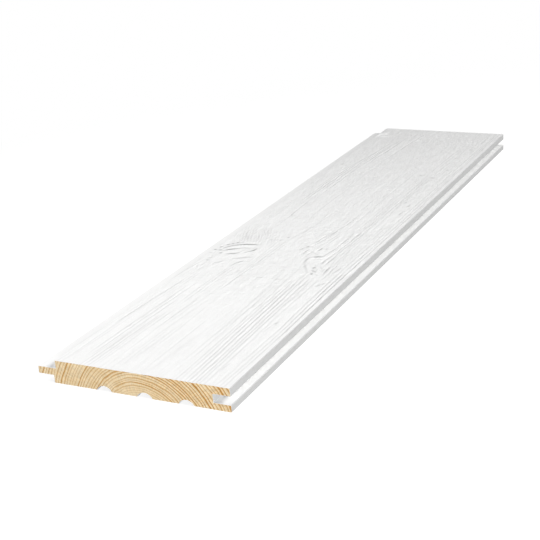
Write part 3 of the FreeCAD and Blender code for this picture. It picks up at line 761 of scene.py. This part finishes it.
def board_mesh():
    """One closed mesh: the face on all rows, the planed sides on fewer, and the two sawn ends."""
    face, sides = section_columns()
    rows = row_places()
    side_rows = rows[::ROWS_PER_SIDE_ROW]
    points, faces, materials = [], [], []

    def add_points(block):
        first = sum(len(part) for part in points)
        points.append(block.reshape(-1, 3))
        return np.arange(first, first + block[..., 0].size).reshape(block.shape[:-1])

    def add_faces(new, material):
        faces.extend(new)
        materials.extend([material] * len(new))

    def bands(ids):
        """Quads between neighbouring columns and rows."""
        quads = np.stack((ids[:-1, :-1], ids[1:, :-1], ids[1:, 1:], ids[:-1, 1:]), axis=-1)
        return quads.reshape(-1, 4).tolist()

    x, y = np.meshgrid(face[:, 0], rows, indexing="ij")
    level = np.meshgrid(face[:, 1], rows, indexing="ij")[0]
    relief, painted_shading = face_relief(x, y)
    lift = smooth_step(ARRIS_LOW_Z, FACE_PLANE_Z, level)
    face_ids = add_points(np.stack((x, y, level + lift * relief), axis=-1))
    add_faces(bands(face_ids), PAINT)
    painted_shading = painted_shading * lift

    x, y = np.meshgrid(sides[:, 0], side_rows, indexing="ij")
    level = np.meshgrid(sides[:, 1], side_rows, indexing="ij")[0]
    side_ids = add_points(np.stack((x, y, level), axis=-1))
    add_faces(bands(side_ids), PAINT)

    for number in range(len(side_rows) - 1):
        fine = slice(number * ROWS_PER_SIDE_ROW, (number + 1) * ROWS_PER_SIDE_ROW + 1)
        right = [side_ids[0, number], side_ids[0, number + 1], *face_ids[-1, fine][::-1]]
        left = [side_ids[-1, number], *face_ids[0, fine], side_ids[-1, number + 1]]
        add_faces([right, left], PAINT)

    for row, noise in ((0, NEAR_FILM_NOISE), (-1, FAR_FILM_NOISE)):
        loop = np.concatenate((face_ids[:, row], side_ids[:, row]))
        outline = np.concatenate(points)[loop]
        film = PAINT_FILM + PAINT_FILM_VARIATION * smooth_noise(outline[:, 0], outline[:, 2], noise)
        ahead = np.roll(outline, -1, axis=0) - np.roll(outline, 1, axis=0)
        inwards = np.stack((ahead[:, 2], 0 * film, -ahead[:, 0]), axis=-1)
        inwards /= np.linalg.norm(inwards, axis=1, keepdims=True)
        inner = add_points(outline + inwards * film[:, None])
        ring = np.stack((loop, np.roll(loop, -1), np.roll(inner, -1), inner), axis=-1)
        if row == 0:
            add_faces(ring[:, ::-1].tolist(), PAINT)
            add_faces([inner[::-1].tolist()], BARE_WOOD)
        else:
            add_faces(ring.tolist(), PAINT)
            add_faces([inner.tolist()], BARE_WOOD)

    mesh = bpy.data.meshes.new("painted_board")
    mesh.from_pydata((np.concatenate(points) * MM).tolist(), [], faces)
    mesh.polygons.foreach_set("material_index", materials)
    mesh.polygons.foreach_set("use_smooth", [True] * len(faces))
    mesh.set_sharp_from_angle(angle=SHARP_ANGLE)
    # Painted shade and highlight of each point of the face, kept as an attribute for the paint's colour.
    depths = mesh.attributes.new(PAINTED_SHADING_ATTRIBUTE, "FLOAT", "POINT")
    values = np.zeros(len(mesh.vertices), np.float32)
    values[face_ids.ravel()] = painted_shading.ravel()
    depths.data.foreach_set("value", values)
    mesh.update()
    return mesh


# Materials

class Nodes:
    """Short ways to add and join the nodes of a material or the world."""

    def __init__(self, tree):
        self.tree = tree
        tree.nodes.clear()

    def add(self, kind, **settings):
        node = self.tree.nodes.new(kind)
        for name, value in settings.items():
            setattr(node, name, value)
        return node

    def feed(self, socket, value):
        if isinstance(value, bpy.types.NodeSocket):
            self.tree.links.new(value, socket)
        else:
            socket.default_value = value

    def feed_all(self, node, values):
        """Feeds the node's first inputs in turn, and returns its first output."""
        for socket, value in zip(node.inputs, values):
            self.feed(socket, value)
        return node.outputs[0]

    def math(self, operation, *values):
        return self.feed_all(self.add("ShaderNodeMath", operation=operation), values)

    def span(self, value, span):
        """From the span's low to its high, eased, as the value goes from its start to its end."""
        node = self.add("ShaderNodeMapRange", interpolation_type="SMOOTHSTEP")
        return self.feed_all(node, (value, *span))

    def mix_shaders(self, factor, first, second):
        return self.feed_all(self.add("ShaderNodeMixShader"), (factor, first, second))

    def split(self, vector):
        """The outputs X, Y and Z of a vector."""
        node = self.add("ShaderNodeSeparateXYZ")
        self.feed(node.inputs[0], vector)
        return node.outputs

    def stretched(self, vector, scale):
        node = self.add("ShaderNodeMapping")
        self.feed(node.inputs["Vector"], vector)
        node.inputs["Scale"].default_value = scale
        return node.outputs["Vector"]

    def noise(self, vector, texture):
        stretched = self.stretched(vector, texture.scale)
        node = self.add("ShaderNodeTexNoise")
        self.feed(node.inputs["Vector"], stretched)
        node.inputs["Scale"].default_value = 1.0
        node.inputs["Detail"].default_value = texture.detail
        node.inputs["Roughness"].default_value = texture.roughness
        return node.outputs["Fac"]

    def lips(self, place):
        """Painted shade mask: one on the groove's lips' outer sides and arrises, less at the far end,
        else zero.
        """
        facing = self.split(self.add("ShaderNodeTexCoord").outputs["Normal"])["X"]
        where = self.split(place)
        outside = self.math("GREATER_THAN", where["X"], EDGE_X - LIP_DEPTH)
        outwards = self.math("MULTIPLY", self.span(facing, LIP_FACING), outside)
        return self.math("MULTIPLY", outwards, self.span(where["Y"], LIP_FADE_Y))

    def on_face(self, place):
        """One on the face and its arrises, and zero on the planed sides and the back."""
        return self.math("GREATER_THAN", self.split(place)["Z"], ARRIS_LOW_Z)

    def brushed(self, place):
        """How strong the brush mottle is: none below the face, and most in the middle of its length."""
        along = self.split(place)["Y"]
        rise, fall = self.span(along, BRUSH_RISE_Y), self.span(along, BRUSH_FALL_Y)
        return self.math("MULTIPLY", self.math("MULTIPLY", rise, fall), self.on_face(place))

    def polar(self, radius, bearing):
        """Radius and bearing as one vector, for noise that follows the rings or crosses them."""
        return self.feed_all(self.add("ShaderNodeCombineXYZ"), (radius, bearing))

    def ramp(self, value, *stops):
        """A colour ramp of (place, colour) stops."""
        node = self.add("ShaderNodeValToRGB")
        self.feed(node.inputs["Fac"], value)
        elements = node.color_ramp.elements
        while len(elements) < len(stops):
            elements.new(1.0)
        for element, (place, colour) in zip(elements, stops):
            element.position = place
            element.color = (*colour, 1.0)
        return node.outputs["Color"]

    def grey_ramp(self, value, tones):
        """A ramp of (place, level) stops."""
        return self.ramp(value, *((place, (level, level, level)) for place, level in tones))

    def mix(self, factor, first, second, blend="MIX"):
        node = self.add("ShaderNodeMix", data_type="RGBA", blend_type=blend)
        self.feed(node.inputs["Factor"], factor)
        self.feed(node.inputs["A"], first)
        self.feed(node.inputs["B"], second)
        return node.outputs["Result"]

    def bump(self, height, distance, normal=None):
        node = self.add("ShaderNodeBump")
        node.inputs["Strength"].default_value = 1.0
        node.inputs["Distance"].default_value = distance * MM
        self.feed(node.inputs["Height"], height)
        if normal is not None:
            self.feed(node.inputs["Normal"], normal)
        return node.outputs["Normal"]


def srgb(red, green, blue):
    """A display colour, 0 to 255, as linear values, by the usual display curve."""
    def linear(value):
        value /= 255
        return value / 12.92 if value <= 0.04045 else ((value + 0.055) / 1.055) ** 2.4
    return linear(red), linear(green), linear(blue)


def new_material(name):
    material = bpy.data.materials.new(name)
    material.use_nodes = True
    nodes = Nodes(material.node_tree)
    shader = nodes.add("ShaderNodeBsdfPrincipled")
    output = nodes.add("ShaderNodeOutputMaterial")
    nodes.feed(output.inputs["Surface"], shader.outputs[0])
    return material, nodes, shader


def board_place(nodes):
    """The point on the board in millimetres."""
    place = nodes.add("ShaderNodeTexCoord").outputs["Object"]
    return nodes.stretched(place, (1 / MM, 1 / MM, 1 / MM))


def ring_nodes(nodes, place):
    """Nodes for the tree's rings at a point: radius from the pith, bearing round it."""
    where = nodes.split(place)
    across = nodes.math("SUBTRACT", where["X"], PITH_X)
    left = nodes.math("DIVIDE", nodes.math("MINIMUM", across, 0.0), RING_STRETCH_LEFT)
    right = nodes.math("DIVIDE", nodes.math("MAXIMUM", across, 0.0), RING_STRETCH_RIGHT)
    sideways = nodes.math("ADD", left, right)
    upwards = nodes.math("SUBTRACT", where["Z"], PITH_Z)
    squares = nodes.math("ADD", nodes.math("POWER", sideways, 2.0), nodes.math("POWER", upwards, 2.0))
    radius = nodes.math("SQRT", squares)
    bearing = nodes.math("ARCTAN2", upwards, sideways)
    return radius, bearing


def painted_softwood():
    material, nodes, shader = new_material("white_paint")
    colour = tuple(frame["record"]["materials"][0]["base_color"])
    place = board_place(nodes)
    fibres, speckle, ripple, cloud = (nodes.noise(place, texture) for texture in (
        FIBRE_TEXTURE, SPECKLE_TEXTURE, RIPPLE_TEXTURE, CLOUD_TEXTURE))
    tone = nodes.ramp(cloud, (CLOUD_LOW, [part * CLOUD_TONE for part in colour]), (CLOUD_HIGH, colour))
    # Painted shade and highlight: the paint is greyer in cracks and hollows and lighter on ridges,
    # standing in for shading.
    painted_shading = nodes.add("ShaderNodeAttribute", attribute_name=PAINTED_SHADING_ATTRIBUTE)
    shade = nodes.math("MULTIPLY_ADD", painted_shading.outputs["Fac"], -PAINTED_SHADE_GAIN, 1.0)
    # Painted shade on the lips' outer sides and arrises, so that they read as turned away from the
    # light.
    lip_painted_shade = nodes.math("MULTIPLY_ADD", speckle, LIP_SPECKLE, LIP_PAINTED_SHADE)
    shade = nodes.math("SUBTRACT", shade, nodes.math("MULTIPLY", nodes.lips(place), lip_painted_shade))
    nodes.feed(shader.inputs["Base Color"], nodes.mix(1.0, tone, shade, "MULTIPLY"))
    roughness = nodes.math("MULTIPLY_ADD", speckle, PAINT_ROUGHNESS_GAIN, PAINT_ROUGHNESS)
    nodes.feed(shader.inputs["Roughness"], roughness)
    shader.inputs["Specular IOR Level"].default_value = PAINT_SPECULAR
    brushed = nodes.brushed(place)
    raised = nodes.math("MULTIPLY_ADD", nodes.on_face(place), 1 - PLANED_FIBRE_SHARE, PLANED_FIBRE_SHARE)
    normal = nodes.bump(nodes.math("MULTIPLY", fibres, raised), FIBRE_BUMP)
    normal = nodes.bump(nodes.math("MULTIPLY", speckle, brushed), SPECKLE_BUMP, normal)
    normal = nodes.bump(nodes.math("MULTIPLY", ripple, brushed), RIPPLE_BUMP, normal)
    nodes.feed(shader.inputs["Normal"], normal)
    return material


def bare_end_grain():
    material, nodes, shader = new_material("bare_end_grain")
    place = board_place(nodes)
    radius, bearing = ring_nodes(nodes, place)
    round_pith = nodes.polar(radius, bearing)
    waver, pores, blotch = (nodes.noise(place, texture) for texture in (
        WAVER_TEXTURE, PORE_TEXTURE, BLOTCH_TEXTURE))
    uneven, rays = nodes.noise(round_pith, UNEVEN_TEXTURE), nodes.noise(round_pith, RAY_TEXTURE)
    shift = nodes.math("MULTIPLY_ADD", waver, WAVER, nodes.math("MULTIPLY", uneven, UNEVENNESS))
    bent = nodes.math("ADD", radius, shift)
    phase = nodes.math("MULTIPLY", nodes.math("POWER", bent, RING_COUNT_POWER), RING_COUNT_SCALE)
    late = nodes.grey_ramp(nodes.math("FRACT", phase), LATE_WOOD_TONES)
    number = nodes.add("ShaderNodeTexWhiteNoise", noise_dimensions="1D")
    nodes.feed(number.inputs["W"], nodes.math("FLOOR", phase))
    own = nodes.math("MULTIPLY_ADD", number.outputs["Value"], LATE_WOOD_VARIATION, LATE_WOOD_LEAST)
    strength = nodes.math("MULTIPLY", own, nodes.span(nodes.split(place)["X"], LATE_WOOD_SIDES_X))
    strength = nodes.math("MULTIPLY", strength, nodes.span(radius, LATE_WOOD_HEART))
    dark = nodes.math("MULTIPLY", late, strength)
    early = nodes.ramp(blotch, *((stop, srgb(*colour)) for stop, colour in EARLY_WOOD_STOPS))
    colour = nodes.mix(dark, early, (*srgb(*LATE_WOOD), 1))
    colour = nodes.mix(1.0, colour, nodes.grey_ramp(rays, RAY_TONES), "MULTIPLY")
    colour = nodes.mix(1.0, colour, nodes.grey_ramp(pores, PORE_TONES), "MULTIPLY")
    nodes.feed(shader.inputs["Base Color"], colour)
    roughness = nodes.math("MULTIPLY_ADD", pores, WOOD_ROUGHNESS_GAIN, WOOD_ROUGHNESS)
    nodes.feed(shader.inputs["Roughness"], roughness)
    shader.inputs["Specular IOR Level"].default_value = WOOD_SPECULAR
    normal = nodes.bump(dark, LATE_WOOD_BUMP)
    normal = nodes.bump(pores, PORE_BUMP, normal)
    nodes.feed(shader.inputs["Normal"], normal)
    return material


# Stage

def look_at(thing, eye, target, roll=0.0):
    """Puts a lamp or camera at eye, facing target, turned about its own line of sight."""
    way = (Vector(target) - Vector(eye)).normalized()
    thing.rotation_mode = "QUATERNION"
    thing.location = Vector(eye) * MM
    thing.rotation_quaternion = way.to_track_quat("-Z", "Y") @ Quaternion((0, 0, 1), roll)


def link(thing):
    bpy.context.scene.collection.objects.link(thing)
    return thing


def make_camera():
    data = bpy.data.cameras.new("camera")
    data.lens = CAMERA_LENS
    data.sensor_width = CAMERA_SENSOR
    data.clip_start, data.clip_end = CAMERA_CLIP
    camera = link(bpy.data.objects.new("camera", data))
    look_at(camera, CAMERA_EYE, CAMERA_TARGET, CAMERA_ROLL)
    bpy.context.scene.camera = camera


def seen_directly(nodes):
    """One for camera, glossy and transmission rays, and zero for the rays that light the object."""
    path = nodes.add("ShaderNodeLightPath")
    either = nodes.math("MAXIMUM", path.outputs["Is Camera Ray"], path.outputs["Is Glossy Ray"])
    return nodes.math("MAXIMUM", either, path.outputs["Is Transmission Ray"])


def make_lights():
    for lamp in LAMPS:
        data = bpy.data.lights.new(lamp.name, "AREA")
        data.shape = "DISK"
        data.size = lamp.size * MM
        data.energy = lamp.watts
        look_at(link(bpy.data.objects.new(lamp.name, data)), lamp.place, lamp.aim)
    world = bpy.data.worlds.new("studio")
    world.use_nodes = True
    bpy.context.scene.world = world
    nodes = Nodes(world.node_tree)
    light, backdrop = nodes.add("ShaderNodeBackground"), nodes.add("ShaderNodeBackground")
    light.inputs["Strength"].default_value = WORLD_LIGHT
    backdrop.inputs["Strength"].default_value = 1.0
    for background in (light, backdrop):
        background.inputs["Color"].default_value = (1, 1, 1, 1)
    shown = nodes.mix_shaders(seen_directly(nodes), light.outputs[0], backdrop.outputs[0])
    nodes.feed(nodes.add("ShaderNodeOutputWorld").inputs["Surface"], shown)


def floor_material():
    """A pale floor: white where it is seen in full light, darker in the object's shadow."""
    material, nodes, shader = new_material("pale_floor")
    shader.inputs["Base Color"].default_value = (FLOOR_BOUNCE, FLOOR_BOUNCE, FLOOR_BOUNCE, 1)
    shader.inputs["Roughness"].default_value = FLOOR_ROUGHNESS
    shader.inputs["Specular IOR Level"].default_value = 0.0
    shade, glow, white = (nodes.add(kind) for kind in (
        "ShaderNodeBsdfDiffuse", "ShaderNodeEmission", "ShaderNodeEmission"))
    shade.inputs["Color"].default_value = (FLOOR_SHADE, FLOOR_SHADE, FLOOR_SHADE, 1)
    glow.inputs["Strength"].default_value = FLOOR_GLOW
    white.inputs["Strength"].default_value = 1.0
    lit = nodes.feed_all(nodes.add("ShaderNodeAddShader"), (shade.outputs[0], glow.outputs[0]))
    distance = nodes.add("ShaderNodeVectorMath", operation="LENGTH")
    place = nodes.add("ShaderNodeTexCoord").outputs["Object"]
    nodes.feed(distance.inputs[0], nodes.stretched(place, FLOOR_STRETCH))
    fade = nodes.span(distance.outputs["Value"], FLOOR_FADE)
    backdrop = nodes.mix_shaders(fade, lit, white.outputs[0])
    shown = nodes.mix_shaders(seen_directly(nodes), shader.outputs[0], backdrop)
    output = next(node for node in nodes.tree.nodes if node.type == "OUTPUT_MATERIAL")
    nodes.feed(output.inputs["Surface"], shown)
    return material


def make_floor():
    half, level = FLOOR_HALF_SIZE * MM, BACK_Z * MM
    mesh = bpy.data.meshes.new("floor")
    corners = ((-half, -half, level), (half, -half, level), (half, half, level), (-half, half, level))
    mesh.from_pydata(corners, [], [(0, 1, 2, 3)])
    mesh.materials.append(floor_material())
    link(bpy.data.objects.new("floor", mesh))


def make_board():
    mesh = board_mesh()
    mesh.materials.append(painted_softwood())
    mesh.materials.append(bare_end_grain())
    board = link(bpy.data.objects.new("painted_board", mesh))
    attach(board, "root")
    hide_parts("board")


make_board()
make_floor()
make_lights()
make_camera()
bpy.context.scene.view_settings.view_transform = "Standard"
